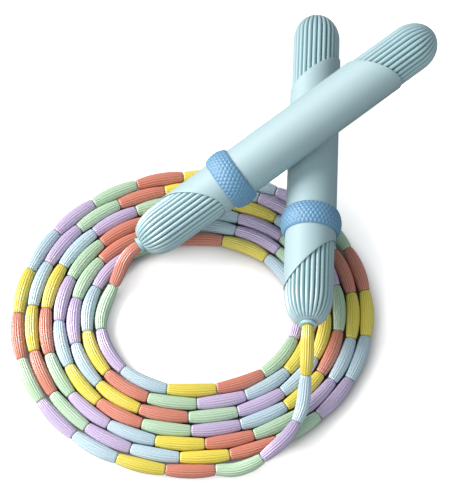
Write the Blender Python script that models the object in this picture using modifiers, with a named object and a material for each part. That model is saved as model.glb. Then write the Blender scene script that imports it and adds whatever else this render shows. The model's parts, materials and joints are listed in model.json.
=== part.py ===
"""Beaded jump rope: two swivel handles lying crossed on a flat spiral of beaded rope.

Lengths are metres, +Z is up and the floor is z = 0. Each handle is drawn along its own axis, from the
nose where the rope comes out (0) to the tail, and then laid in place by its empty.
"""
import math

import bmesh
import bpy
import numpy as np
from mathutils import Matrix, Vector

MM = 0.001
GAP = 0.3 * MM                      # air left between neighbouring pieces

# the two handles: nose point, compass heading of the axis and its rise towards the tail
HANDLE_LENGTH = 189 * MM
SHIFT = Vector((-31.92 * MM, -36.37 * MM, 0))   # puts the handles' footprint centre on the origin
HANDLES = {
    "upper": dict(nose=(-43.41 * MM, -6.52 * MM, 16.33 * MM), heading=32.46, rise=16.62, roll=153.0),
    "lower": dict(nose=(42.89 * MM, -56.34 * MM, 29.58 * MM), heading=87.41, rise=-5.66, roll=180.0),
}

# radii and stations of a handle
R_SHELL = 12.45 * MM                # fluted nose and cap, over the ribs
R_SLEEVE = 13.4 * MM
SLEEVE_WALL = 0.6 * MM
NOSE_DOME = 16 * MM
TAIL_DOME = 15 * MM
R_NOSE_FACE = 4.9 * MM
NOSE_END = 52 * MM                  # where the nose shell stops and the barrel starts
CAP_START = 136.3 * MM
SLEEVE_NOSE = (33 * MM, 14 * MM)    # middle of the slanted edge and how far it leans each way
SLEEVE_TAIL = (150 * MM, 10.5 * MM)
RING_SPAN = (51.5 * MM, 64.5 * MM)
R_RING = 16.2 * MM
RIBS = 28
RIB_DEPTH = 0.55 * MM
RELEASE_TURN = 60.0                 # the cap turns this far before its lugs meet the entry slots

# the cap's plug, measured from where the cap starts
PLUG_END = -18.3 * MM
LUG_GROOVE = (-15.7 * MM, -11.9 * MM)
LUG_SLOT = (-14.3 * MM, 2.7 * MM)
SEAL_GROOVE = (-5.3 * MM, -3.1 * MM)
R_SEAL = 0.65 * MM

# swivel
R_CORD = 1.5 * MM
R_COLLAR = 4.7 * MM
COLLAR = (-2.0 * MM, -GAP)
BEARING = (8 * MM, 13 * MM)
PITCH_R = 5.85 * MM
R_BALL = 1.15 * MM
BALLS = 6
GROOVE_R = R_BALL + GAP

# the rope, strung with beads
R_BEAD = 3.65 * MM
COIL_CENTRE = (-14 * MM, -45 * MM)
COIL_R = 92.15 * MM                 # radius of the spiral where its angle is zero
COIL_PITCH = 7.32 * MM              # drawn in by this much each turn
COIL_OVAL = (-1.1 * MM, 1.8 * MM, 5.4 * MM, 0.9 * MM)   # cos, sin, cos 2, sin 2 parts
COIL_START = 82.0                   # degrees along the spiral, clockwise seen from above
COIL_END = 2340.0
LEAD_STEP = 7.5 * MM
LEAD_CLEAR = 0.45 * MM              # a lead's end stands off the coil's side by this much
LEAD_LOWER = [                      # from the lower handle's collar down onto the coil and round it
    (42.5, -65.0, 29.3), (42.2, -74.5, 25.3), (41.4, -86.0, 17.9), (39.6, -97.8, 12.1),
    (33.6, -109.6, 11.45), (24.3, -118.9, 10.4), (14.9, -124.9, 7.0), (3.6, -127.6, 4.1),
]
LEAD_UPPER = [                      # from the upper handle's collar into the innermost turn
    (-50.2, -11.4, 13.9), (-53.4, -15.4, 12.0), (-55.8, -20.6, 9.1), (-59.3, -28.1, 5.6),
    (-63.0, -36.3, 3.9),
]


def gather(name, hidden=False):
    """A new collection in the scene."""
    col = bpy.data.collections.new(name)
    bpy.context.scene.collection.children.link(col)
    col.hide_render = hidden
    return col


def material(name, colour, rough, metallic=0.0):
    """A plain Principled material."""
    mat = bpy.data.materials.new(name)
    mat.use_nodes = True
    bsdf = mat.node_tree.nodes["Principled BSDF"]
    bsdf.inputs["Base Color"].default_value = (*colour, 1)
    bsdf.inputs["Roughness"].default_value = rough
    bsdf.inputs["Metallic"].default_value = metallic
    return mat


def add(name, data, col, mat=None, parent=None):
    """An object of this data, in its collection, on its parent."""
    obj = bpy.data.objects.new(name, data)
    col.objects.link(obj)
    if mat:
        data.materials.append(mat)
    obj.parent = parent
    return obj


def turned(name, profile, steps, col, mat, parent=None):
    """A solid turned about the local Z axis from (radius, height) points, closed if it has a bore."""
    closed = min(r for r, _ in profile) > 0
    count = len(profile)
    edges = [(i, i + 1) for i in range(count - 1)] + ([(count - 1, 0)] if closed else [])
    mesh = bpy.data.meshes.new(name)
    mesh.from_pydata([(r, 0, z) for r, z in profile], edges, [])
    obj = add(name, mesh, col, mat, parent)
    screw = obj.modifiers.new("turn", "SCREW")
    screw.axis = "Z"
    screw.steps = screw.render_steps = steps
    screw.use_merge_vertices = True
    screw.merge_threshold = 0.00001
    screw.use_smooth_shade = True
    return obj


def baked(obj):
    """Replaces an object's modifiers by the mesh they make."""
    graph = bpy.context.evaluated_depsgraph_get()
    mesh = bpy.data.meshes.new_from_object(obj.evaluated_get(graph))
    bm = bmesh.new()
    bm.from_mesh(mesh)
    bmesh.ops.remove_doubles(bm, verts=bm.verts, dist=0.000001)
    bmesh.ops.recalc_face_normals(bm, faces=bm.faces)
    bm.to_mesh(mesh)
    bm.free()
    mats = list(obj.data.materials)
    obj.modifiers.clear()
    obj.data = mesh
    mesh.materials.clear()
    for mat in mats:
        mesh.materials.append(mat)
    mesh.shade_smooth()
    mesh.set_sharp_from_angle(angle=math.radians(40))
    return obj


def reshaped(obj, move):
    """Passes every vertex of a baked object through move(points), an N by 3 array."""
    mesh = baked(obj).data
    points = np.empty(len(mesh.vertices) * 3)
    mesh.vertices.foreach_get("co", points)
    mesh.vertices.foreach_set("co", move(points.reshape(-1, 3)).ravel())
    mesh.update()
    mesh.set_sharp_from_angle(angle=math.radians(40))
    return obj


def boxes(name, size, places, col, parent):
    """One hidden cutter made of boxes of this size, each put in place by a matrix."""
    bm = bmesh.new()
    for place in places:
        bmesh.ops.create_cube(bm, size=1.0, matrix=place @ Matrix.Diagonal((*size, 1)))
    mesh = bpy.data.meshes.new(name)
    bm.to_mesh(mesh)
    bm.free()
    return hidden(add(name, mesh, col, parent=parent))


def hidden(obj):
    """Marks a cutter: drawn as wire and never rendered."""
    obj.hide_render = True
    obj.display_type = "WIRE"
    return obj


def boolean(obj, cutter, operation):
    """Adds an exact Boolean with a cutter."""
    mod = obj.modifiers.new(operation.lower(), "BOOLEAN")
    mod.operation = operation
    mod.solver = "EXACT"
    mod.object = cutter
    return obj


def quarter(r0, z0, r1, z1, count):
    """Points of a quarter ellipse from the side (r0, z0) to the end (r1, z1), side first."""
    out = []
    for i in range(1, count + 1):
        turn = math.pi / 2 * i / count
        out.append((r1 + (r0 - r1) * math.cos(turn), z0 + (z1 - z0) * math.sin(turn)))
    return out


def arc(r, z, radius, start, end, count):
    """Points of a circular arc in the profile plane, angles in degrees from +radius."""
    turns = np.radians(np.linspace(start, end, count))
    return [(r + radius * math.cos(t), z + radius * math.sin(t)) for t in turns]


def fluted(points):
    """Presses every other line of vertices of the outer skin inward, to leave rounded ribs."""
    radius = np.hypot(points[:, 0], points[:, 1])
    turn = np.arctan2(points[:, 1], points[:, 0])
    outside = radius > 11.2 * MM
    dome = (points[:, 2] < NOSE_DOME) | (points[:, 2] > HANDLE_LENGTH - TAIL_DOME)
    outside |= dome & (radius > R_NOSE_FACE + 0.1 * MM) & (skin_depth(points) < 0.4 * MM)
    valley = 0.5 - 0.5 * np.cos(turn * RIBS)
    press = RIB_DEPTH * valley * outside * np.clip(radius / R_SHELL, 0, 1)
    keep = np.where(radius > 0, 1 - press / np.maximum(radius, MM), 1)
    points = points.copy()
    points[:, 0] *= keep
    points[:, 1] *= keep
    return points


def skin_depth(points):
    """How far each point lies inside the two domes' outer skin, along the radius."""
    radius = np.hypot(points[:, 0], points[:, 1])
    near = np.clip((NOSE_DOME - points[:, 2]) / NOSE_DOME, 0, 1)
    far = np.clip((points[:, 2] - HANDLE_LENGTH + TAIL_DOME) / TAIL_DOME, 0, 1)
    nose = R_NOSE_FACE + (R_SHELL - R_NOSE_FACE) * np.sqrt(1 - near ** 2)
    tail = R_SHELL * np.sqrt(1 - far ** 2)
    return np.minimum(nose, tail) - radius


def nose_shell(tag, col, mats, parent):
    """Domed, ribbed nose with the bearing seat and the socket for the barrel."""
    seat, socket, hole = 8.3 * MM, 10.2 * MM, 3.9 * MM
    profile = [(R_SHELL, NOSE_END), (R_SHELL, NOSE_DOME)]
    profile += quarter(R_SHELL, NOSE_DOME, R_NOSE_FACE, 0, 5)
    profile += [(hole, 0), (hole, BEARING[0] - GAP), (seat, BEARING[0] - GAP),
                (seat, 16 * MM), (socket, 18 * MM), (socket, NOSE_END)]
    return reshaped(turned(tag + "_nose_shell", profile, RIBS * 2, col, mats["shell"], parent), fluted)


def barrel(tag, col, cutters, mats, parent):
    """Inner tube of the handle: spigot into the nose, bore for the cap's plug, bayonet groove."""
    bore, groove, spigot = 9.5 * MM, 11 * MM, 9.9 * MM
    top = CAP_START - GAP
    low, high = (CAP_START + z for z in LUG_GROOVE)
    profile = [(R_SHELL, top), (R_SHELL, NOSE_END + GAP), (spigot, NOSE_END + GAP), (spigot, 30 * MM),
               (8.2 * MM, 30 * MM), (8.2 * MM, 62 * MM), (bore, 64 * MM), (bore, low),
               (groove, low), (groove, high), (bore, high), (bore, top)]
    obj = turned(tag + "_barrel", profile, 32, col, mats["core"], parent)
    middle, length = CAP_START + sum(LUG_SLOT) / 2, LUG_SLOT[1] - LUG_SLOT[0]
    places = [Matrix.Rotation(math.radians(RELEASE_TURN + half), 4, "Z")
              @ Matrix.Translation((groove - 1.5 * MM, 0, middle)) for half in (0, 180)]
    cutter = boxes(tag + "_slot_cutter", (3 * MM, 5 * MM, length), places, cutters, parent)
    return baked(boolean(obj, cutter, "DIFFERENCE"))


def grip_sleeve(tag, col, mats, parent):
    """Smooth outer sleeve, its two ends cut on slanted planes."""
    inner = R_SLEEVE - SLEEVE_WALL
    (nose, nose_lean), (tail, tail_lean) = SLEEVE_NOSE, SLEEVE_TAIL
    middle = (nose + tail) / 2
    rounding = 0.25 * MM
    profile = [(R_SLEEVE - rounding, tail), (R_SLEEVE, tail - rounding),
               (R_SLEEVE, nose + rounding), (R_SLEEVE - rounding, nose), (inner, nose), (inner, tail)]

    def slanted(points):
        side = points[:, 0] / R_SLEEVE
        lean = np.where(points[:, 2] < middle, nose_lean, tail_lean)
        points = points.copy()
        points[:, 2] += lean * side
        return points

    return reshaped(turned(tag + "_grip_sleeve", profile, 40, col, mats["sleeve"], parent), slanted)


def grip_ring(tag, col, mats, parent):
    """Barrel-rounded soft ring pushed over the sleeve."""
    low, high = RING_SPAN
    edge, inner = 14.4 * MM, R_SLEEVE + GAP
    profile = [(inner, high), (edge, high)]
    for i in range(1, 6):
        part = i / 6
        profile.append((edge + (R_RING - edge) * math.sin(math.pi * part) ** 0.6,
                        high + (low - high) * part))
    profile += [(edge, low), (inner, low)]
    return turned(tag + "_grip_ring", profile, 40, col, mats["ring"], parent)


def end_cap(tag, col, cutters, mats, parent):
    """Domed, ribbed tail cap: a hollow plug with an O-ring groove and two bayonet lugs."""
    plug, hollow, root = 9.2 * MM, 6.6 * MM, 7.6 * MM
    low, high = (CAP_START + z for z in SEAL_GROOVE)
    end = CAP_START + PLUG_END
    dome = quarter(R_SHELL, HANDLE_LENGTH - TAIL_DOME, 0, HANDLE_LENGTH, 6)
    profile = dome[::-1] + [
        (R_SHELL, HANDLE_LENGTH - TAIL_DOME), (R_SHELL, CAP_START), (plug, CAP_START),
        (plug, high), (root, high), (root, low), (plug, low), (plug, end), (hollow, end),
        (hollow, HANDLE_LENGTH - 17 * MM), (0, HANDLE_LENGTH - 15 * MM)]
    obj = reshaped(turned(tag + "_end_cap", profile, RIBS * 2, col, mats["shell"], parent), fluted)
    middle = CAP_START + sum(LUG_GROOVE) / 2
    places = [Matrix.Rotation(math.radians(half), 4, "Z") @ Matrix.Translation((9.5 * MM, 0, middle))
              for half in (0, 180)]
    lugs = boxes(tag + "_lug_tool", (1.8 * MM, 4 * MM, 2.8 * MM), places, cutters, parent)
    return baked(boolean(obj, lugs, "UNION"))


def o_ring(tag, col, mats, parent):
    """Rubber ring in the cap's groove."""
    profile = arc(8.55 * MM, CAP_START + sum(SEAL_GROOVE) / 2, R_SEAL, 90, -225, 8)
    return turned(tag + "_cap_o_ring", profile, 28, col, mats["rubber"], parent)


def bearing(tag, col, cutters, mats, frames):
    """Ball bearing in the nose: outer race, inner race and a cage carrying its balls."""
    low, high = BEARING
    mid = (low + high) / 2
    groove = arc(PITCH_R, mid, GROOVE_R, 58, -58, 5)
    outer = ([(8.0 * MM, high), (8.0 * MM, low), (6.6 * MM, low)]
             + [(r, z) for r, z in arc(PITCH_R, mid, GROOVE_R, -58, 58, 5)] + [(6.6 * MM, high)])
    inner = ([(3.7 * MM, low), (3.7 * MM, high), (5.1 * MM, high)]
             + [(2 * PITCH_R - r, z) for r, z in groove] + [(5.1 * MM, low)])
    turned(tag + "_bearing_outer_race", outer, 28, col, mats["steel"], frames["handle"])
    turned(tag + "_bearing_inner_race", inner, 24, col, mats["steel"], frames["rope"])
    cage = turned(tag + "_bearing_cage", [
        (6.25 * MM, mid + 0.5 * MM), (6.25 * MM, mid - 0.5 * MM),
        (5.45 * MM, mid - 0.5 * MM), (5.45 * MM, mid + 0.5 * MM)], 24, col, mats["brass"], frames["cage"])
    bm = bmesh.new()
    for i in range(BALLS):
        turn = Matrix.Rotation(2 * math.pi * i / BALLS, 4, "Z")
        bmesh.ops.create_uvsphere(bm, u_segments=8, v_segments=5, radius=R_BALL,
                                  matrix=turn @ Matrix.Translation((PITCH_R, 0, mid)))
    mesh = bpy.data.meshes.new(tag + "_ball_tool")
    bm.to_mesh(mesh)
    bm.free()
    balls = hidden(add(tag + "_ball_tool", mesh, cutters, parent=frames["cage"]))
    baked(boolean(cage, balls, "UNION"))
    turned(tag + "_bearing_lock_ring", [
        (8.0 * MM, 15.6 * MM), (8.0 * MM, 13.3 * MM), (6.9 * MM, 13.3 * MM), (6.9 * MM, 15.6 * MM)],
        28, col, mats["steel"], frames["handle"])


def spindle(tag, col, mats, parent):
    """Hollow spindle that carries the rope: collar outside, stem through the bearing, clip groove."""
    stem, neck, bore = 3.4 * MM, 2.7 * MM, R_CORD + GAP
    low, high = COLLAR
    profile = [(bore, 19 * MM), (stem, 19 * MM), (stem, 14.7 * MM), (neck, 14.7 * MM),
               (neck, 13.3 * MM), (stem, 13.3 * MM), (stem, high), (R_COLLAR, high),
               (R_COLLAR + 0.15 * MM, low + 0.5 * MM), (R_COLLAR - 0.35 * MM, low), (bore, low)]
    return turned(tag + "_swivel_spindle", profile, 28, col, mats["collar"], parent)


def spindle_clip(tag, col, mats, parent):
    """Open spring clip in the spindle's groove, holding the inner race."""
    outline = [(4.8 * MM * math.cos(a), 4.8 * MM * math.sin(a))
               for a in np.radians(np.linspace(25, 335, 17))]
    outline += [(3.0 * MM * math.cos(a), 3.0 * MM * math.sin(a))
                for a in np.radians(np.linspace(325, 35, 15))]
    obj = outlined(tag + "_spindle_clip", [outline], 0.8 * MM, col, mats["steel"], parent)
    obj.location = (0, 0, 14.0 * MM)
    return obj


def outlined(name, outlines, thickness, col, mat, parent=None):
    """A flat plate from closed outlines, centred on its plane; later outlines are holes."""
    curve = bpy.data.curves.new(name, "CURVE")
    curve.dimensions = "2D"
    curve.fill_mode = "BOTH"
    curve.extrude = thickness / 2
    for outline in outlines:
        spline = curve.splines.new("POLY")
        spline.points.add(len(outline) - 1)
        for point, (x, y) in zip(spline.points, outline):
            point.co = (x, y, 0, 1)
        spline.use_cyclic_u = True
    return add(name, curve, col, mat, parent)


def rope_end(tag, col, mats, parent):
    """The cord's end inside the handle, its washer and the crimped stop that holds it."""
    low = COLLAR[0] + GAP
    turned(tag + "_cord_end", [(0, 32 * MM), (R_CORD, 32 * MM), (R_CORD, low), (0, low)],
           16, col, mats["cord"], parent)
    inner = R_CORD + GAP
    turned(tag + "_cord_washer", [(6.5 * MM, 20.7 * MM), (6.5 * MM, 19.3 * MM),
                                  (inner, 19.3 * MM), (inner, 20.7 * MM)], 28, col, mats["steel"], parent)
    outer, waist = 3.3 * MM, 2.7 * MM
    profile = [(inner, 29 * MM), (outer, 29 * MM)]
    for middle in (27, 23):
        profile += [(outer, (middle + 0.9) * MM), (waist, (middle + 0.4) * MM),
                    (waist, (middle - 0.4) * MM), (outer, (middle - 0.9) * MM)]
    profile += [(outer, 21.0 * MM), (inner, 21.0 * MM)]
    turned(tag + "_cord_stop", profile, 18, col, mats["steel"], parent)


def spiral(degrees):
    """Centreline of the coil on the floor, at these angles along it."""
    along = np.asarray(degrees, float)
    turn = -np.radians(along)
    c1, s1, c2, s2 = COIL_OVAL
    radius = (COIL_R - COIL_PITCH * along / 360 + c1 * np.cos(turn) + s1 * np.sin(turn)
              + c2 * np.cos(2 * turn) + s2 * np.sin(2 * turn))
    return radius, turn


def at(radius, turn):
    """Points at this radius and angle about the coil's centre."""
    x0, y0 = COIL_CENTRE[0] + SHIFT.x, COIL_CENTRE[1] + SHIFT.y
    return list(zip(x0 + radius * np.cos(turn), y0 + radius * np.sin(turn)))


def rope_coil(col, mats):
    """Six and a half flat turns of beaded rope as one ring, stepped where each end leaves it."""
    step = 6.0
    radius, turn = spiral(np.arange(COIL_START, COIL_START + 360.01, step))
    outer = at(radius + R_BEAD, turn)
    radius, turn = spiral(np.arange(COIL_END - 360, COIL_END + 0.01, step))
    inner = at(radius - R_BEAD, turn)
    obj = outlined("rope_coil", [outer, inner], 2 * R_BEAD, col, mats["beads"])
    obj.location.z = R_BEAD
    weld = obj.modifiers.new("weld", "WELD")
    weld.merge_threshold = 0.000001
    bevel = obj.modifiers.new("round", "BEVEL")
    bevel.width = 1.6 * MM
    bevel.segments = 1
    bevel.limit_method = "ANGLE"
    bevel.angle_limit = math.radians(60)
    return obj


def smooth_line(points, spacing):
    """Evenly spaced points on a cubic through these, its slope at each taken from its neighbours."""
    points = np.array(points, float)
    chord = np.concatenate([[0], np.cumsum(np.linalg.norm(np.diff(points, axis=0), axis=1))])
    slope = np.gradient(points, chord, axis=0)
    where = np.linspace(0, chord[-1], 400)
    seg = np.clip(np.searchsorted(chord, where, side="right") - 1, 0, len(chord) - 2)
    span = (chord[seg + 1] - chord[seg])[:, None]
    t = ((where - chord[seg]) / span[:, 0])[:, None]
    line = ((1 + 2 * t) * (1 - t) ** 2 * points[seg] + t * (1 - t) ** 2 * span * slope[seg]
            + t ** 2 * (3 - 2 * t) * points[seg + 1] + t ** 2 * (t - 1) * span * slope[seg + 1])
    run = np.concatenate([[0], np.cumsum(np.linalg.norm(np.diff(line, axis=0), axis=1))])
    marks = np.linspace(0, run[-1], max(2, round(run[-1] / spacing) + 1))
    return np.stack([np.interp(marks, run, line[:, k]) for k in range(3)], axis=1)


def rope_lead(name, frame, route, joins, col, mats):
    """Beaded rope from a handle's collar to where it joins the coil."""
    start = frame.matrix_world @ Vector((0, 0, COLLAR[0] - GAP))
    straight = frame.matrix_world @ Vector((0, 0, COLLAR[0] - 3 * MM))
    middle = [Vector(p) * MM + SHIFT for p in route]
    radius, turn = spiral([joins[0]])
    end = (*at(radius + joins[1], turn)[0], R_BEAD)
    line = smooth_line([tuple(straight), *map(tuple, middle), end], LEAD_STEP)
    line = np.vstack([tuple(start), line])
    curve = bpy.data.curves.new(name, "CURVE")
    curve.dimensions = "3D"
    curve.bevel_depth = R_BEAD
    curve.bevel_resolution = 3
    curve.use_fill_caps = True
    spline = curve.splines.new("POLY")
    spline.points.add(len(line) - 1)
    for point, co in zip(spline.points, line):
        point.co = (*co, 1)
    obj = add(name, curve, col, mats["beads"])
    weld = obj.modifiers.new("weld", "WELD")
    weld.merge_threshold = 0.000001
    return obj


def handle_frames(tag, place):
    """Empties on a handle's axis: one that the handle turns about, one for each thing it holds."""
    heading, rise = math.radians(place["heading"]), math.radians(place["rise"])
    axis = Vector((math.cos(heading) * math.cos(rise), math.sin(heading) * math.cos(rise), math.sin(rise)))
    spin = axis.to_track_quat("Z", "Y").to_matrix().to_4x4() @ Matrix.Rotation(
        math.radians(place["roll"]), 4, "Z")
    world = Matrix.Translation(Vector(place["nose"]) + SHIFT) @ spin
    frames = {}
    for role in ("rope", "handle", "cage", "cap"):
        empty = bpy.data.objects.new(f"{tag}_{role}_axis", None)
        empty.matrix_world = world
        bpy.context.scene.collection.objects.link(empty)
        frames[role] = empty
    return frames


def build():
    for obj in list(bpy.data.objects):
        bpy.data.objects.remove(obj, do_unlink=True)
    parts, cutters = gather("jump_rope"), gather("cutters", hidden=True)
    mats = {
        "shell": material("shell_teal", (0.55, 0.76, 0.79), 0.42),
        "sleeve": material("sleeve_teal", (0.60, 0.79, 0.81), 0.5),
        "ring": material("ring_blue", (0.24, 0.42, 0.68), 0.6),
        "core": material("core_grey", (0.70, 0.74, 0.75), 0.5),
        "collar": material("collar_teal", (0.55, 0.76, 0.79), 0.35),
        "steel": material("bearing_steel", (0.62, 0.63, 0.65), 0.25, 1.0),
        "brass": material("cage_brass", (0.72, 0.54, 0.24), 0.3, 1.0),
        "rubber": material("seal_rubber", (0.03, 0.03, 0.035), 0.7),
        "cord": material("cord_white", (0.85, 0.85, 0.83), 0.6),
        "beads": material("bead_pastel", (0.72, 0.80, 0.60), 0.4),
    }
    leads = {"upper": (LEAD_UPPER, (COIL_END + 0.7, -LEAD_CLEAR)),
             "lower": (LEAD_LOWER, (COIL_START - 0.5, LEAD_CLEAR))}
    for tag, place in HANDLES.items():
        frames = handle_frames(tag, place)
        bpy.context.view_layer.update()
        nose_shell(tag, parts, mats, frames["handle"])
        barrel(tag, parts, cutters, mats, frames["handle"])
        grip_sleeve(tag, parts, mats, frames["handle"])
        grip_ring(tag, parts, mats, frames["handle"])
        end_cap(tag, parts, cutters, mats, frames["cap"])
        o_ring(tag, parts, mats, frames["cap"])
        bearing(tag, parts, cutters, mats, frames)
        spindle(tag, parts, mats, frames["rope"])
        spindle_clip(tag, parts, mats, frames["rope"])
        rope_end(tag, parts, mats, frames["rope"])
        route, joins = leads[tag]
        rope_lead(tag + "_rope_lead", frames["rope"], route, joins, parts, mats)
    rope_coil(parts, mats)


build()
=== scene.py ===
"""Looks of the beaded jump rope: ribbed swivel handles crossed over a flat coil of pastel beads.

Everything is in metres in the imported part's frame. The handles' places come from the frame's swivel
joints, and the rope follows the same route as the solids that stand in for it.
"""

import json
import math

import bpy
import numpy as np
from mathutils import Matrix, Vector


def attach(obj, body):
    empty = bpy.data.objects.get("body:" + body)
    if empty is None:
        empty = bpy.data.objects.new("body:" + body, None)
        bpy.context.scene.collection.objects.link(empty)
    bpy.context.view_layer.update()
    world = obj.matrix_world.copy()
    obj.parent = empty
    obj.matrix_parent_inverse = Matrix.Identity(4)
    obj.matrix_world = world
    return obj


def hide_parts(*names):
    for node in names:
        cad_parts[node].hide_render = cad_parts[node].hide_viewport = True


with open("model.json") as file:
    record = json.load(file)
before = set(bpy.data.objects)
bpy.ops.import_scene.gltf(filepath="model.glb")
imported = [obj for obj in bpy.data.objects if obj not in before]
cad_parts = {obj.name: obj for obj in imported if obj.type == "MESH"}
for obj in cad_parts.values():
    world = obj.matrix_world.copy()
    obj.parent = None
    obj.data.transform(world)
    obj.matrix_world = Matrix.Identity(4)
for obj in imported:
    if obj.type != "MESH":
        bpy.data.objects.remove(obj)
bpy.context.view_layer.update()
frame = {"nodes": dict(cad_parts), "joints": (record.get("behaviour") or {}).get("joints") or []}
MM = 0.001

# camera: it looks at the middle of the view on the floor, from this angle above the horizon
VIEW_CENTRE = Vector((-31.92 * MM, -36.37 * MM, 0))
VIEW_ELEVATION = math.radians(67)
VIEW_DISTANCE = 1.2
LENS = 165.1

# handle stations and radii, as in the part
SWIVEL_FROM_NOSE = 10.5 * MM
HANDLE_LENGTH = 189 * MM
R_SHELL = 12.7 * MM
R_SLEEVE = 13.4 * MM
SLEEVE_WALL = 0.55 * MM
NOSE_DOME = 16 * MM
TAIL_DOME = 15 * MM
R_NOSE_FACE = 4.9 * MM
NOSE_END = 52 * MM
CAP_START = 136.3 * MM
SLEEVE_NOSE = (33 * MM, 14 * MM)
SLEEVE_TAIL = (150 * MM, 10.5 * MM)
RING_SPAN = (51.5 * MM, 64.5 * MM)
R_RING = 16.2 * MM
RIBS = 28
RIB_DEPTH = 1.4 * MM
PLUG_END = CAP_START - 18.3 * MM
SEAL_GROOVE = (CAP_START - 5.3 * MM, CAP_START - 3.1 * MM)
COLLAR = (-2.0 * MM, -0.3 * MM)
SPINDLE_END = 19 * MM
CLIP_GROOVE = (13.3 * MM, 14.7 * MM)
ROLL = {"upper": -27.0, "lower": 0.0}     # extra turn of each handle about its axis, in degrees

# rope: beads on a cord, laid as a flat spiral that turns clockwise and inwards; angles in degrees
R_BEAD = 3.65 * MM
R_CORD = 1.5 * MM
BEAD_COUNT = 110
BEAD_COLOURS = ["yellow", "blue", "lavender", "green", "coral"]
BEAD_GAP = 0.35 * MM
BEAD_SHOULDER = 0.9 * MM
BEAD_RIDGES = 16
RIDGE_DEPTH = 0.4 * MM
COIL_CENTRE = (-45.92 * MM, -81.37 * MM)
COIL_R = 92.15 * MM
COIL_PITCH = 7.32 * MM
COIL_OVAL = (-1.1 * MM, 1.8 * MM, 5.4 * MM, 0.9 * MM)     # cosine and sine of one turn, then of two
COIL_START, COIL_END = 82.0, 2340.0

# free parts of the rope from each handle to the coil, in millimetres about the middle of the view
LEAD_LOWER = [
    (42.5, -65.0, 29.3), (42.2, -74.5, 25.3), (41.4, -86.0, 17.9), (39.6, -97.8, 12.1),
    (33.6, -109.6, 11.45), (24.3, -118.9, 10.4), (14.9, -124.9, 7.0), (3.6, -127.6, 4.1),
]
LEAD_UPPER = [
    (-50.2, -11.4, 13.9), (-53.4, -15.4, 12.0), (-55.8, -20.6, 9.1), (-59.3, -28.1, 5.6),
    (-63.0, -36.3, 3.9),
]

# lights: name, place, size, power and colour
LIGHTS = [
    ("key", (-1.12, 0.32, 0.80), 0.9, 27.5, (1.0, 0.95, 0.93)),
    ("low", (-0.85, -0.80, 0.75), 0.8, 6.0, (1.0, 0.98, 0.96)),
    ("fill", (0.9, -0.5, 0.9), 1.2, 2.2, (0.82, 1.0, 1.04)),
]


# ---------------------------------------------------------------- surfaces

def mesh_from(name, points, faces):
    """A smooth mesh object from an N by 3 array of points and lists of faces, at the origin."""
    mesh = bpy.data.meshes.new(name)
    mesh.from_pydata(points.tolist(), [], faces)
    mesh.update()
    mesh.shade_smooth()
    obj = bpy.data.objects.new(name, mesh)
    bpy.context.scene.collection.objects.link(obj)
    return obj


def ring_faces(rings, around, closed):
    """Quads between neighbouring rings of a grid whose rows are rings: corner (i, j) joins (i + 1, j),
    (i + 1, j + 1) and (i, j + 1). The last column joins the first, and so does the last ring if closed."""
    i = np.arange(rings if closed else rings - 1)[:, None]
    j = np.arange(around)[None, :]
    ni, nj = (i + 1) % rings, (j + 1) % around
    quads = np.stack([i * around + j, ni * around + j, ni * around + nj, i * around + nj], axis=-1)
    return quads.reshape(-1, 4)


def end_faces(rings, around):
    """Triangles that close a grid's first and last rings on two middle points, which follow the grid."""
    j = np.arange(around)
    nj = (j + 1) % around
    low = (rings - 1) * around
    first = np.stack([np.full(around, rings * around), j, nj], axis=1)
    last = np.stack([np.full(around, rings * around + 1), low + nj, low + j], axis=1)
    return np.vstack([first, last])


def turned(profile, around, shape=None):
    """Grid of a profile turned about the local Z axis: point (i, j) is the i-th (radius, height) pair at
    the j-th of equal angles. shape(radius, height, angle) may return changed radius and height."""
    profile = np.asarray(profile, float)
    angle = np.linspace(0, 2 * np.pi, around, endpoint=False)[None, :]
    radius = np.repeat(profile[:, :1], around, axis=1)
    height = np.repeat(profile[:, 1:], around, axis=1)
    if shape:
        radius, height = shape(radius, height, angle)
    return np.stack([radius * np.cos(angle), radius * np.sin(angle), height], axis=-1)


def handle_axes(tag):
    """Nose point and the three axes of a handle: right-hand side, downward side and along to the tail."""
    joint = next(j for j in frame["joints"] if j["name"] == tag + "_swivel")
    along = Vector(joint["axis"]).normalized()
    nose = Vector(joint["pos_m"]) - along * SWIVEL_FROM_NOSE
    right = along.cross(Vector((0, 0, 1))).normalized()
    right.rotate(Matrix.Rotation(math.radians(ROLL[tag]), 3, along))
    return np.array(nose), np.array([right, along.cross(right), along])


def placed(points, tag):
    """Local handle points moved to where that handle lies."""
    nose, axes = handle_axes(tag)
    return points @ axes + nose


def solid_of_rings(name, grid, tag, pole=False):
    """A closed piece from a grid of rings. Without a pole the last ring joins the first, as round a bore;
    with one, the first and last rings close on their own middles."""
    rings, around, _ = grid.shape
    points = placed(grid.reshape(-1, 3), tag)
    faces = ring_faces(rings, around, closed=not pole).tolist()
    if pole:
        ends = np.array([grid[0].mean(axis=0), grid[-1].mean(axis=0)])
        points = np.vstack([points, placed(ends, tag)])
        faces += end_faces(rings, around).tolist()
    return mesh_from(name, points, faces)


def quarter(r0, z0, r1, z1, count):
    """A quarter ellipse from the side (r0, z0) to the end (r1, z1), the first point left out."""
    turn = np.linspace(0, np.pi / 2, count + 1)[1:]
    return list(zip(r1 + (r0 - r1) * np.cos(turn), z0 + (z1 - z0) * np.sin(turn)))


def steps(r0, z0, r1, z1, count):
    """Evenly spaced points from one profile point to another, the first left out."""
    part = np.linspace(0, 1, count + 1)[1:]
    return list(zip(r0 + (r1 - r0) * part, z0 + (z1 - z0) * part))


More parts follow.
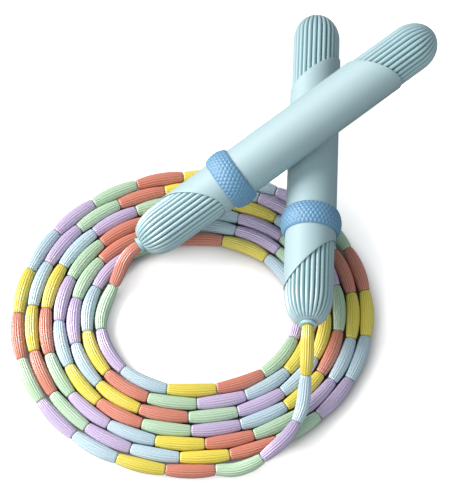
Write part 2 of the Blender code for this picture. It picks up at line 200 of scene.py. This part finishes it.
def ribbed(fade_nose):
    """Shape function for ribs on the outer skin: the radius drops by the rib depth times the 1.5th power
    of one minus |sine of half the rib angle|, so that ribs are round and grooves narrow."""
    def shape(radius, height, angle):
        wave = np.abs(np.sin(angle * RIBS / 2))
        groove = (1 - wave) ** 1.5
        skin = np.clip((radius - 0.8 * MM) / (2.5 * MM), 0, 1)
        if fade_nose:
            skin = skin * (height < NOSE_END - 0.1 * MM) * (height > 0.2 * MM)
        depth = RIB_DEPTH * skin * np.clip(radius / R_SHELL, 0.3, 1)
        return radius - depth * groove * outer_mask(radius, height), height
    return shape


def outer_mask(radius, height):
    """One on the outer skin of a ribbed piece, nothing on its bore."""
    near = np.clip((NOSE_DOME - height) / NOSE_DOME, 0, 1)
    far = np.clip((height - HANDLE_LENGTH + TAIL_DOME) / TAIL_DOME, 0, 1)
    nose = R_NOSE_FACE + (R_SHELL - R_NOSE_FACE) * np.sqrt(1 - near ** 2)
    tail = R_SHELL * np.sqrt(1 - far ** 2)
    return (radius > np.minimum(nose, tail) - 0.3 * MM) * 1.0


def mark_grooves(obj, grid, profile):
    """Stores how deep each point lies in a groove, as a share of the rib depth, for the material, which
    paints shade into the grooves by it.
    """
    whole = np.array(profile)[:, :1]
    depth = (whole - np.hypot(grid[..., 0], grid[..., 1])) / RIB_DEPTH
    values = np.zeros(len(obj.data.vertices), np.float32)
    values[:depth.size] = np.clip(depth, 0, 1).ravel()
    obj.data.attributes.new("groove", "FLOAT", "POINT").data.foreach_set("value", values)


def nose_shell(tag):
    """Ribbed, domed nose."""
    hole, seat, socket = 3.9 * MM, 8.3 * MM, 10.2 * MM
    profile = [(R_SHELL, NOSE_END)] + steps(R_SHELL, NOSE_END, R_SHELL, NOSE_DOME, 14)
    profile += quarter(R_SHELL, NOSE_DOME, R_NOSE_FACE, 0, 22)
    profile += [(hole, 0), (hole, 7.7 * MM), (seat, 7.7 * MM), (seat, 16 * MM), (socket, 18 * MM),
                (socket, NOSE_END)]
    grid = turned(profile, RIBS * 10, ribbed(True))
    obj = solid_of_rings(tag + "_ribbed_nose", grid, tag)
    mark_grooves(obj, grid, profile)
    return finished(obj, tag + "_handle", "shell", [tag + "_nose_shell"], sharp=50)


def end_cap(tag):
    """Ribbed, domed tail cap with its hollow plug."""
    plug, hollow, root = 9.2 * MM, 6.6 * MM, 7.6 * MM
    dome = quarter(R_SHELL, HANDLE_LENGTH - TAIL_DOME, 0.05 * MM, HANDLE_LENGTH, 24)
    profile = dome[::-1] + [(R_SHELL, HANDLE_LENGTH - TAIL_DOME)]
    profile += steps(R_SHELL, HANDLE_LENGTH - TAIL_DOME, R_SHELL, CAP_START, 12)
    profile += [(plug, CAP_START), (plug, SEAL_GROOVE[1]), (root, SEAL_GROOVE[1]),
                (root, SEAL_GROOVE[0]), (plug, SEAL_GROOVE[0]), (plug, PLUG_END), (hollow, PLUG_END),
                (hollow, HANDLE_LENGTH - 17 * MM), (0.05 * MM, HANDLE_LENGTH - 15 * MM)]
    grid = turned(profile, RIBS * 10, ribbed(False))
    obj = solid_of_rings(tag + "_ribbed_cap", grid, tag, pole=True)
    mark_grooves(obj, grid, profile)
    return finished(obj, tag + "_cap", "shell", [tag + "_end_cap"], sharp=50)


def grip_sleeve(tag):
    """Smooth sleeve: rings round a thin wall, each ring near an end leaning with the cosine of its angle
    so that both ends are cut on a slanted plane, with a small rounded lip."""
    (nose, nose_lean), (tail, tail_lean) = SLEEVE_NOSE, SLEEVE_TAIL
    inner = R_SLEEVE - SLEEVE_WALL
    lip = 0.27 * MM
    reach = 0.42        # share of the length over which each end's slant fades out
    turn = np.linspace(0, np.pi, 7)
    profile = [(R_SLEEVE - lip + lip * math.cos(a), tail - lip + lip * math.sin(a)) for a in turn[::-1]]
    profile += steps(R_SLEEVE, tail - lip, R_SLEEVE, nose + lip, 60)
    profile += [(R_SLEEVE - lip + lip * math.cos(a), nose + lip - lip * math.sin(a)) for a in turn[1:]]
    profile += steps(inner, nose + lip, inner, tail - lip, 12)[:-1]

    def slanted(radius, height, angle):
        part = (height - nose) / (tail - nose)
        near = np.clip(1 - part / reach, 0, 1)
        far = np.clip(1 - (1 - part) / reach, 0, 1)
        return radius, height + (nose_lean * near + tail_lean * far) * np.cos(angle)

    obj = solid_of_rings(tag + "_smooth_sleeve", turned(profile, 144, slanted), tag)
    return finished(obj, tag + "_handle", "sleeve", [tag + "_grip_sleeve"], sharp=40)


def grip_ring(tag):
    """Soft ring with a barrel outside, covered in seven rows of small raised bumps set like bricks. Each
    bump's height is one minus the square of the distance from its middle, to the power 0.8."""
    low, high = RING_SPAN
    inner, edge = R_SLEEVE + 0.15 * MM, 14.1 * MM
    rows, count, row_pitch = 7, 42, 1.8 * MM
    bump_radius, bump_height = 1.02 * MM, 0.38 * MM
    width = high - low
    face = (1 - np.cos(np.linspace(0, np.pi, 61))) / 2
    swell = np.sin(np.pi * face) ** 0.8
    profile = [(inner, high), (edge - 0.25 * MM, high)]
    profile += [(edge + (R_RING - 0.25 * MM - edge) * s, high - width * f) for f, s in zip(face, swell)]
    profile += [(edge - 0.25 * MM, low), (inner, low)]

    def bumps(radius, height, angle):
        row = (height - (low + high) / 2) / row_pitch
        nearest = np.clip(np.round(row), -(rows // 2), rows // 2)
        col = angle * count / (2 * np.pi) + 0.5 * (np.abs(nearest) % 2)
        dx = (col - np.round(col)) * 2 * np.pi * R_RING / count
        dz = (row - nearest) * row_pitch
        away = np.hypot(dx, dz) / bump_radius
        lift = np.clip(1 - away ** 2, 0, 1) ** 0.8
        return radius + bump_height * lift * (radius > edge), height

    obj = solid_of_rings(tag + "_dimpled_ring", turned(profile, count * 10, bumps), tag)
    return finished(obj, tag + "_handle", "ring", [tag + "_grip_ring"], sharp=60)


def spindle(tag):
    """Hollow spindle: a small flared collar outside the nose and a stem with a clip groove inside."""
    stem, neck, bore = 3.4 * MM, 2.7 * MM, 1.8 * MM
    low, high = COLLAR
    rim, lip = 4.55 * MM, 0.4 * MM
    turn = np.linspace(0, np.pi / 2, 7)
    profile = [(bore, SPINDLE_END), (stem, SPINDLE_END), (stem, CLIP_GROOVE[1]), (neck, CLIP_GROOVE[1]),
               (neck, CLIP_GROOVE[0]), (stem, CLIP_GROOVE[0]), (stem, high), (rim - 0.55 * MM, high),
               (rim - 0.65 * MM, high - 0.35 * MM), (rim - 0.45 * MM, high - 0.65 * MM)]
    profile += [(rim - lip + lip * math.cos(a), low + lip - lip * math.sin(a)) for a in turn]
    profile += [(bore + 1.0 * MM, low), (bore + 0.7 * MM, low + 0.5 * MM), (bore, low + 0.6 * MM)]
    obj = solid_of_rings(tag + "_collar_spindle", turned(profile, 72), tag)
    return finished(obj, "rope", "collar", [tag + "_swivel_spindle"], sharp=40)


def finished(obj, body, slot, nodes, sharp):
    """Gives the piece the material of its slot, sharp edges by angle and its body, and hides the CAD nodes
    it stands for.
    """
    obj.data.materials.append(MATERIALS[slot])
    obj.data.set_sharp_from_angle(angle=math.radians(sharp))
    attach(obj, body)
    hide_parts(*nodes)
    return obj


# ---------------------------------------------------------------- rope

def smooth_line(points, spacing):
    """Points at an even spacing along a cubic that passes through the given ones, its slope at each
    taken from the neighbours on both sides."""
    points = np.array(points, float)
    chord = np.concatenate([[0], np.cumsum(np.linalg.norm(np.diff(points, axis=0), axis=1))])
    slope = np.gradient(points, chord, axis=0)
    where = np.linspace(0, chord[-1], int(chord[-1] / (0.5 * MM)))
    seg = np.clip(np.searchsorted(chord, where, side="right") - 1, 0, len(chord) - 2)
    span = (chord[seg + 1] - chord[seg])[:, None]
    t = (where - chord[seg])[:, None] / span
    line = ((1 + 2 * t) * (1 - t) ** 2 * points[seg] + t * (1 - t) ** 2 * span * slope[seg]
            + t ** 2 * (3 - 2 * t) * points[seg + 1] + t ** 2 * (t - 1) * span * slope[seg + 1])
    run = np.concatenate([[0], np.cumsum(np.linalg.norm(np.diff(line, axis=0), axis=1))])
    marks = np.linspace(0, run[-1], round(run[-1] / spacing) + 1)
    return np.stack([np.interp(marks, run, line[:, k]) for k in range(3)], axis=1)


def coil_points():
    """The flat spiral: the radius shrinks evenly with the angle, plus a small oval part."""
    along = np.arange(COIL_START, COIL_END + 0.1, 6.0)
    turn = -np.radians(along)
    c1, s1, c2, s2 = COIL_OVAL
    radius = (COIL_R - COIL_PITCH * along / 360 + c1 * np.cos(turn) + s1 * np.sin(turn)
              + c2 * np.cos(2 * turn) + s2 * np.sin(2 * turn))
    x = COIL_CENTRE[0] + radius * np.cos(turn)
    y = COIL_CENTRE[1] + radius * np.sin(turn)
    return np.stack([x, y, np.full_like(x, R_BEAD)], axis=1)


def rope_line():
    """Centreline from the lower handle's collar, round the coil and up to the upper handle's collar."""
    ends = {}
    for tag in ("lower", "upper"):
        on_axis = np.array([(0, 0, COLLAR[0]), (0, 0, COLLAR[0] - 3 * MM)])
        ends[tag] = placed(on_axis, tag)
    shift = np.array(VIEW_CENTRE)
    down = np.array(LEAD_LOWER) * MM + shift
    up = np.array(LEAD_UPPER)[::-1] * MM + shift
    return smooth_line(np.vstack([ends["lower"], down, coil_points(), up, ends["upper"][::-1]]), 1.0 * MM)


def carried(line, run, where, section):
    """A closed section carried along a line. At each distance in where, the section's (side, up) pairs
    are laid across the line: side is the line's horizontal normal, up is square to it and the line."""
    centre = np.stack([np.interp(where, run, line[:, k]) for k in range(3)], axis=-1)
    slope = np.gradient(line, run, axis=0)
    along = np.stack([np.interp(where, run, slope[:, k]) for k in range(3)], axis=-1)
    along /= np.linalg.norm(along, axis=-1, keepdims=True)
    side = np.cross(along, [0, 0, 1.0])
    side /= np.linalg.norm(side, axis=-1, keepdims=True)
    up = np.cross(side, along)
    return (centre[..., None, :] + section[..., :1] * side[..., None, :]
            + section[..., 1:] * up[..., None, :])


def make_cord(line, run):
    """Cord through the beads: a round section carried along the whole line."""
    around = 12
    angle = np.linspace(0, 2 * np.pi, around, endpoint=False)
    section = R_CORD * np.stack([np.cos(angle), np.sin(angle)], axis=-1)
    where = run[::2]
    rings = len(where)
    grid = carried(line, run, where, np.broadcast_to(section, (rings, around, 2)))
    points = np.vstack([grid.reshape(-1, 3), grid[0].mean(axis=0), grid[-1].mean(axis=0)])
    faces = ring_faces(rings, around, closed=False).tolist() + end_faces(rings, around).tolist()
    obj = mesh_from("nylon_cord", points, faces)
    obj.data.materials.append(MATERIALS["cord"])
    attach(obj, "rope")
    return obj


def make_beads(line, run):
    """Beads of each colour: a barrel bent along the rope. Its radius is greatest in the middle, falls
    off with the distance from it to the power 2.2 and rounds over at both ends. Fine ridges run along
    it, each round on top with a narrow groove beside it, and grow shallow where the ends round over."""
    pitch = run[-1] / BEAD_COUNT
    half = (pitch - BEAD_GAP) / 2
    flat = half - BEAD_SHOULDER
    body = np.linspace(-flat, flat, 11)
    end = flat + BEAD_SHOULDER * np.array([0.2, 0.5, 0.78, 0.94, 1.0])
    place = np.concatenate([-end[::-1], body, end])
    swell = 1 - 0.23 * np.abs(place / half) ** 2.2
    into = np.clip((np.abs(place) - flat) / BEAD_SHOULDER, 0, 1)
    radius = R_BEAD * swell - 0.62 * BEAD_SHOULDER * (1 - np.sqrt(1 - into ** 2))
    angle = np.linspace(0, 2 * np.pi, BEAD_RIDGES * 5, endpoint=False)
    groove = (1 - np.abs(np.sin(angle * BEAD_RIDGES / 2))) ** 1.3
    depth = RIDGE_DEPTH * (1 - 0.6 * into)
    rng = np.random.default_rng(11)
    spin = rng.uniform(0, 2 * np.pi, BEAD_COUNT)
    tint = rng.uniform(-1, 1, BEAD_COUNT)
    middle = (np.arange(BEAD_COUNT) + 0.5) * pitch
    made = {}
    for k, colour in enumerate(BEAD_COLOURS):
        own = np.arange(k, BEAD_COUNT, len(BEAD_COLOURS))
        where = middle[own, None] + place[None, :]
        turn = angle[None, None, :] + spin[own, None, None]
        size = radius[None, :, None] - depth[None, :, None] * groove[None, None, :]
        section = np.stack([size * np.cos(turn), size * np.sin(turn)], axis=-1)
        grid = carried(line, run, where, section)
        made[colour] = bead_mesh("beads_" + colour, grid, tint[own])
        made[colour].data.materials.append(MATERIALS["bead_" + colour])
        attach(made[colour], "rope")
    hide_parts("rope_coil", "lower_rope_lead", "upper_rope_lead")
    return list(made.values())


def bead_mesh(name, grid, tint):
    """One mesh of many beads from their grids, each closed by a flat end on its own middle point."""
    count, rings, around, _ = grid.shape
    step = rings * around + 2
    ends = np.stack([grid[:, 0].mean(axis=1), grid[:, -1].mean(axis=1)], axis=1)
    points = np.concatenate([grid.reshape(count, -1, 3), ends], axis=1).reshape(-1, 3)
    quads, fans = ring_faces(rings, around, closed=False), end_faces(rings, around)
    faces = []
    for k in range(count):
        faces += (quads + k * step).tolist() + (fans + k * step).tolist()
    obj = mesh_from(name, points, faces)
    obj.data.set_sharp_from_angle(angle=math.radians(70))
    shade = obj.data.attributes.new("bead_tint", "FLOAT", "POINT")
    shade.data.foreach_set("value", np.repeat(tint, step).astype(np.float32))
    return obj


# ---------------------------------------------------------------- materials

def new_material(name, colour, rough, metallic=0.0, **inputs):
    """A material with its Principled shader set; returns the material, its node tree and the shader."""
    mat = bpy.data.materials.new(name)
    mat.use_nodes = True
    tree = mat.node_tree
    bsdf = tree.nodes["Principled BSDF"]
    bsdf.inputs["Base Color"].default_value = (*colour, 1)
    bsdf.inputs["Roughness"].default_value = rough
    bsdf.inputs["Metallic"].default_value = metallic
    for key, value in inputs.items():
        bsdf.inputs[key.replace("_", " ")].default_value = value
    return mat, tree, bsdf


def noise(tree, scale, detail, coords):
    """The value of a noise texture at the given coordinates."""
    node = tree.nodes.new("ShaderNodeTexNoise")
    node.inputs["Scale"].default_value = scale
    node.inputs["Detail"].default_value = detail
    tree.links.new(coords, node.inputs["Vector"])
    return node.outputs["Fac"]


def scaled(tree, value, by, plus):
    """value times by, plus plus. Each of the last two is a number or a socket."""
    node = tree.nodes.new("ShaderNodeMath")
    node.operation = "MULTIPLY_ADD"
    tree.links.new(value, node.inputs[0])
    for socket, given in zip(node.inputs[1:3], (by, plus)):
        if isinstance(given, bpy.types.NodeSocket):
            tree.links.new(given, socket)
        else:
            socket.default_value = given
    return node.outputs[0]


def relief(tree, height, distance, strength):
    """Normal of a bump whose height is given. The strength is a number or a socket."""
    node = tree.nodes.new("ShaderNodeBump")
    node.inputs["Distance"].default_value = distance
    tree.links.new(height, node.inputs["Height"])
    if isinstance(strength, bpy.types.NodeSocket):
        tree.links.new(strength, node.inputs["Strength"])
    else:
        node.inputs["Strength"].default_value = strength
    return node.outputs["Normal"]


def moulded_group():
    """Node group for moulded plastic: fine grain in the normal, a slow drift of colour and a mottled
    roughness, all worked from noise on the Vector that is put in."""
    group = bpy.data.node_groups.new("moulded_surface", "ShaderNodeTree")
    face = group.interface
    for name, kind, value in (("Vector", "NodeSocketVector", None), ("Colour", "NodeSocketColor", None),
                              ("Drift", "NodeSocketFloat", 0.06), ("Rough", "NodeSocketFloat", 0.4),
                              ("Mottle", "NodeSocketFloat", 0.08), ("Grain", "NodeSocketFloat", 0.15),
                              ("Grain Scale", "NodeSocketFloat", 900.0)):
        socket = face.new_socket(name=name, in_out="INPUT", socket_type=kind)
        if value is not None:
            socket.default_value = value
    for name, kind in (("Colour", "NodeSocketColor"), ("Rough", "NodeSocketFloat"),
                       ("Normal", "NodeSocketVector")):
        face.new_socket(name=name, in_out="OUTPUT", socket_type=kind)
    nodes, links = group.nodes, group.links
    inputs, outputs = nodes.new("NodeGroupInput").outputs, nodes.new("NodeGroupOutput").inputs

    slow = scaled(group, noise(group, 22.0, 3.0, inputs["Vector"]), 1.0, -0.5)
    tone = nodes.new("ShaderNodeHueSaturation")
    links.new(scaled(group, slow, inputs["Drift"], 1.0), tone.inputs["Value"])
    links.new(inputs["Colour"], tone.inputs["Color"])
    links.new(tone.outputs["Color"], outputs["Colour"])

    blotch = scaled(group, noise(group, 160.0, 2.0, inputs["Vector"]), 1.0, -0.5)
    links.new(scaled(group, blotch, inputs["Mottle"], inputs["Rough"]), outputs["Rough"])

    grain = noise(group, 900.0, 2.0, inputs["Vector"])
    links.new(inputs["Grain Scale"], grain.node.inputs["Scale"])
    links.new(relief(group, grain, 0.0002, inputs["Grain"]), outputs["Normal"])
    return group


def moulded(name, colour, rough, drift=0.06, mottle=0.08, grain=0.15, grain_scale=900.0, **inputs):
    """A moulded plastic or rubber material through the shared group."""
    mat, tree, bsdf = new_material(name, colour, rough, **inputs)
    group = tree.nodes.new("ShaderNodeGroup")
    group.node_tree = MOULDED
    coords = tree.nodes.new("ShaderNodeTexCoord")
    tree.links.new(coords.outputs["Object"], group.inputs["Vector"])
    group.inputs["Colour"].default_value = (*colour, 1)
    for key, value in (("Drift", drift), ("Rough", rough), ("Mottle", mottle), ("Grain", grain),
                       ("Grain Scale", grain_scale)):
        group.inputs[key].default_value = value
    tree.links.new(group.outputs["Colour"], bsdf.inputs["Base Color"])
    tree.links.new(group.outputs["Rough"], bsdf.inputs["Roughness"])
    tree.links.new(group.outputs["Normal"], bsdf.inputs["Normal"])
    return mat


def shell_material(colour, painted_groove_shade):
    """Shell plastic: the moulded surface, going over to a deeper colour down in the grooves, which is
    painted shade.
    """
    mat = moulded("shell_plastic", colour, 0.30, Specular_IOR_Level=1.0, Coat_Weight=0.5,
                  Coat_Roughness=0.18)
    tree = mat.node_tree
    group = next(n for n in tree.nodes if n.type == "GROUP")
    depth = tree.nodes.new("ShaderNodeAttribute")
    depth.attribute_name = "groove"
    # painted shade: the colour darkens towards the painted groove shade with the groove depth
    mix = tree.nodes.new("ShaderNodeMix")
    mix.data_type = "RGBA"
    mix.inputs["A"].default_value = (*colour, 1)
    mix.inputs["B"].default_value = (*painted_groove_shade, 1)
    tree.links.new(depth.outputs["Fac"], mix.inputs["Factor"])
    tree.links.new(mix.outputs["Result"], group.inputs["Colour"])
    return mat


def bead_material(name, colour):
    """Bead plastic: the moulded surface, each bead a little lighter or darker than the next."""
    mat = moulded(name, colour, 0.34, drift=0.10, grain=0.06, grain_scale=700.0,
                  Specular_IOR_Level=1.0, Coat_Weight=0.8, Coat_Roughness=0.2)
    tree = mat.node_tree
    group = next(n for n in tree.nodes if n.type == "GROUP")
    tint = tree.nodes.new("ShaderNodeAttribute")
    tint.attribute_name = "bead_tint"
    shade = tree.nodes.new("ShaderNodeHueSaturation")
    shade.inputs["Color"].default_value = (*colour, 1)
    tree.links.new(scaled(tree, tint.outputs["Fac"], 0.05, 1.0), shade.inputs["Value"])
    tree.links.new(shade.outputs["Color"], group.inputs["Colour"])
    return mat


def metal(name, colour, rough, line_scale):
    """Turned metal: fine lines round the piece from a stretched noise, which also mottles its gloss."""
    mat, tree, bsdf = new_material(name, colour, rough, metallic=1.0)
    coords = tree.nodes.new("ShaderNodeTexCoord")
    stretch = tree.nodes.new("ShaderNodeMapping")
    stretch.inputs["Scale"].default_value = (1, 1, 8)
    tree.links.new(coords.outputs["Object"], stretch.inputs["Vector"])
    lines = noise(tree, line_scale, 3.0, stretch.outputs["Vector"])
    tree.links.new(scaled(tree, lines, 0.25, rough - 0.1), bsdf.inputs["Roughness"])
    tree.links.new(relief(tree, lines, 0.0001, 0.3), bsdf.inputs["Normal"])
    return mat


def cord_material():
    """White nylon cord with a fine twisted lay."""
    mat, tree, bsdf = new_material("cord_nylon", (0.80, 0.80, 0.77), 0.5)
    coords = tree.nodes.new("ShaderNodeTexCoord")
    lay = tree.nodes.new("ShaderNodeTexWave")
    lay.inputs["Scale"].default_value = 600.0
    lay.inputs["Distortion"].default_value = 1.5
    tree.links.new(coords.outputs["Object"], lay.inputs["Vector"])
    tree.links.new(relief(tree, lay.outputs["Fac"], 0.0002, 0.5), bsdf.inputs["Normal"])
    return mat


MOULDED = moulded_group()
MATERIALS = {
    # shell: its own colour, then the painted shade for its grooves
    "shell": shell_material((0.40, 0.56, 0.60), (0.10, 0.30, 0.34)),
    "sleeve": moulded("sleeve_plastic", (0.365, 0.505, 0.54), 0.58, Specular_IOR_Level=0.8,
                      Subsurface_Weight=0.05, Subsurface_Scale=0.003),
    "ring": moulded("ring_rubber", (0.125, 0.295, 0.47), 0.42, drift=0.12, grain=0.3, Sheen_Weight=0.15,
                    Specular_IOR_Level=0.8),
    "core": moulded("core_plastic", (0.62, 0.68, 0.70), 0.5),
    "collar": moulded("collar_plastic", (0.43, 0.66, 0.72), 0.35),
    "rubber": moulded("seal_rubber", (0.025, 0.025, 0.03), 0.65, grain=0.4),
    "steel": metal("bearing_steel", (0.62, 0.63, 0.65), 0.3, 300.0),
    "brass": metal("cage_brass", (0.72, 0.52, 0.22), 0.35, 300.0),
    "cord": cord_material(),
    "bead_yellow": bead_material("bead_yellow", (0.76, 0.63, 0.07)),
    "bead_blue": bead_material("bead_blue", (0.48, 0.62, 0.70)),
    "bead_lavender": bead_material("bead_lavender", (0.53, 0.43, 0.64)),
    "bead_green": bead_material("bead_green", (0.44, 0.61, 0.43)),
    "bead_coral": bead_material("bead_coral", (0.62, 0.21, 0.14)),
}
INNER_NODES = {
    "barrel": "core", "bearing_outer_race": "steel", "bearing_inner_race": "steel",
    "bearing_cage": "brass", "bearing_lock_ring": "steel", "spindle_clip": "steel",
    "cord_washer": "steel", "cord_stop": "steel", "cord_end": "cord", "cap_o_ring": "rubber",
}


def paint_inner_nodes():
    """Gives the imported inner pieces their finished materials."""
    for tag in ("upper", "lower"):
        for part, slot in INNER_NODES.items():
            node = frame["nodes"][f"{tag}_{part}"]
            node.data.materials.clear()
            node.data.materials.append(MATERIALS[slot])


# ---------------------------------------------------------------- stage

def by_distance(tree, distance, points):
    """A value that follows straight lines between (distance, value) points, from 0 to 1 m."""
    node = tree.nodes.new("ShaderNodeFloatCurve")
    curve = node.mapping.curves[0]
    curve.points[0].location, curve.points[1].location = points[0], points[-1]
    for place in points[1:-1]:
        curve.points.new(*place)
    for point in curve.points:
        point.handle_type = "VECTOR"
    node.mapping.update()
    tree.links.new(distance, node.inputs["Value"])
    return node.outputs["Value"]


def floor_paper():
    """White paper, for the picture only. Where the camera sees it, a faint painted glow thins the shadows
    that fall clear of the rope, which is painted light. Hidden under the coil it has no glow and is
    painted dark, which is painted shade that deepens the gaps between the strands. For all other light it
    is grey, so that little light comes back up."""
    white = (0.92, 0.885, 0.87)
    mean_radius = 70 * MM
    mat, tree, bsdf = new_material("floor_paper", white, 0.9, Specular_IOR_Level=0.1)
    bsdf.inputs["Emission Color"].default_value = (1, 1, 1, 1)

    # distance from the middle of the coil, with the coil's oval evened out
    long, short = 1 / (1 + COIL_OVAL[2] / mean_radius), 1 / (1 - COIL_OVAL[2] / mean_radius)
    coords = tree.nodes.new("ShaderNodeTexCoord")
    centred = tree.nodes.new("ShaderNodeMapping")
    centred.inputs["Location"].default_value = (-COIL_CENTRE[0] * long, -COIL_CENTRE[1] * short, 0)
    centred.inputs["Scale"].default_value = (long, short, 0)
    away = tree.nodes.new("ShaderNodeVectorMath")
    away.operation = "LENGTH"
    tree.links.new(coords.outputs["Object"], centred.inputs["Vector"])
    tree.links.new(centred.outputs["Vector"], away.inputs[0])

    # painted light: the floor glows for the camera away from the coil, to thin the shadows there
    painted_glow = by_distance(tree, away.outputs["Value"], [(0.0, 0.6), (0.036, 0.5), (0.048, 0.0), (0.084, 0.0),
                                                     (0.094, 0.5), (0.11, 0.75), (1.0, 0.8)])
    tree.links.new(painted_glow, bsdf.inputs["Emission Strength"])
    # painted shade: the paper is dark under the coil, to deepen the gaps between the strands
    clear = by_distance(tree, away.outputs["Value"], [(0.0, 1.0), (0.047, 1.0), (0.052, 0.0),
                                                      (0.0835, 0.0), (0.087, 1.0), (1.0, 1.0)])
    paper_or_painted_shade = tree.nodes.new("ShaderNodeMix")
    paper_or_painted_shade.data_type = "RGBA"
    paper_or_painted_shade.inputs["A"].default_value = (0.20, 0.19, 0.19, 1)
    paper_or_painted_shade.inputs["B"].default_value = (*white, 1)
    tree.links.new(clear, paper_or_painted_shade.inputs["Factor"])
    tree.links.new(paper_or_painted_shade.outputs["Result"], bsdf.inputs["Base Color"])

    grey = tree.nodes.new("ShaderNodeBsdfDiffuse")
    grey.inputs["Color"].default_value = (0.25, 0.25, 0.25, 1)
    path = tree.nodes.new("ShaderNodeLightPath")
    mix = tree.nodes.new("ShaderNodeMixShader")
    tree.links.new(path.outputs["Is Camera Ray"], mix.inputs["Fac"])
    tree.links.new(grey.outputs["BSDF"], mix.inputs[1])
    tree.links.new(bsdf.outputs["BSDF"], mix.inputs[2])
    out = next(n for n in tree.nodes if n.type == "OUTPUT_MATERIAL")
    tree.links.new(mix.outputs["Shader"], out.inputs["Surface"])
    return mat


def studio():
    """Pale floor, a strong soft light from the left, two weak ones and a dim surround."""
    bpy.ops.mesh.primitive_plane_add(size=6.0, location=(0, 0, 0))
    floor = bpy.context.object
    floor.name = "studio_floor"
    floor.data.materials.append(floor_paper())
    for name, place, size, power, tint in LIGHTS:
        light = bpy.data.lights.new(name, "AREA")
        light.shape = "DISK"
        light.size = size
        light.energy = power
        light.color = tint
        obj = bpy.data.objects.new(name, light)
        bpy.context.scene.collection.objects.link(obj)
        obj.location = place
        obj.rotation_euler = (Vector((0, 0, 0)) - Vector(place)).to_track_quat("-Z", "Y").to_euler()
    world = bpy.data.worlds.new("surround")
    world.use_nodes = True
    world.node_tree.nodes["Background"].inputs["Color"].default_value = (0.93, 1, 1.03, 1)
    world.node_tree.nodes["Background"].inputs["Strength"].default_value = 0.40
    bpy.context.scene.world = world
    bpy.context.scene.view_settings.view_transform = "Standard"


def camera():
    """Camera above the coil, looking down at the middle of the view."""
    data = bpy.data.cameras.new("camera")
    data.lens = LENS
    data.clip_end = 20
    obj = bpy.data.objects.new("camera", data)
    bpy.context.scene.collection.objects.link(obj)
    away = Vector((0, -math.cos(VIEW_ELEVATION), math.sin(VIEW_ELEVATION)))
    obj.location = VIEW_CENTRE + away * VIEW_DISTANCE
    obj.rotation_euler = (math.pi / 2 - VIEW_ELEVATION, 0, 0)
    bpy.context.scene.camera = obj


# ---------------------------------------------------------------- build

camera()
studio()
centreline = rope_line()
distance = np.concatenate([[0], np.cumsum(np.linalg.norm(np.diff(centreline, axis=0), axis=1))])
cord = make_cord(centreline, distance)
beads = make_beads(centreline, distance)
for side in ("upper", "lower"):
    nose_shell(side)
    grip_sleeve(side)
    grip_ring(side)
    end_cap(side)
    spindle(side)
paint_inner_nodes()
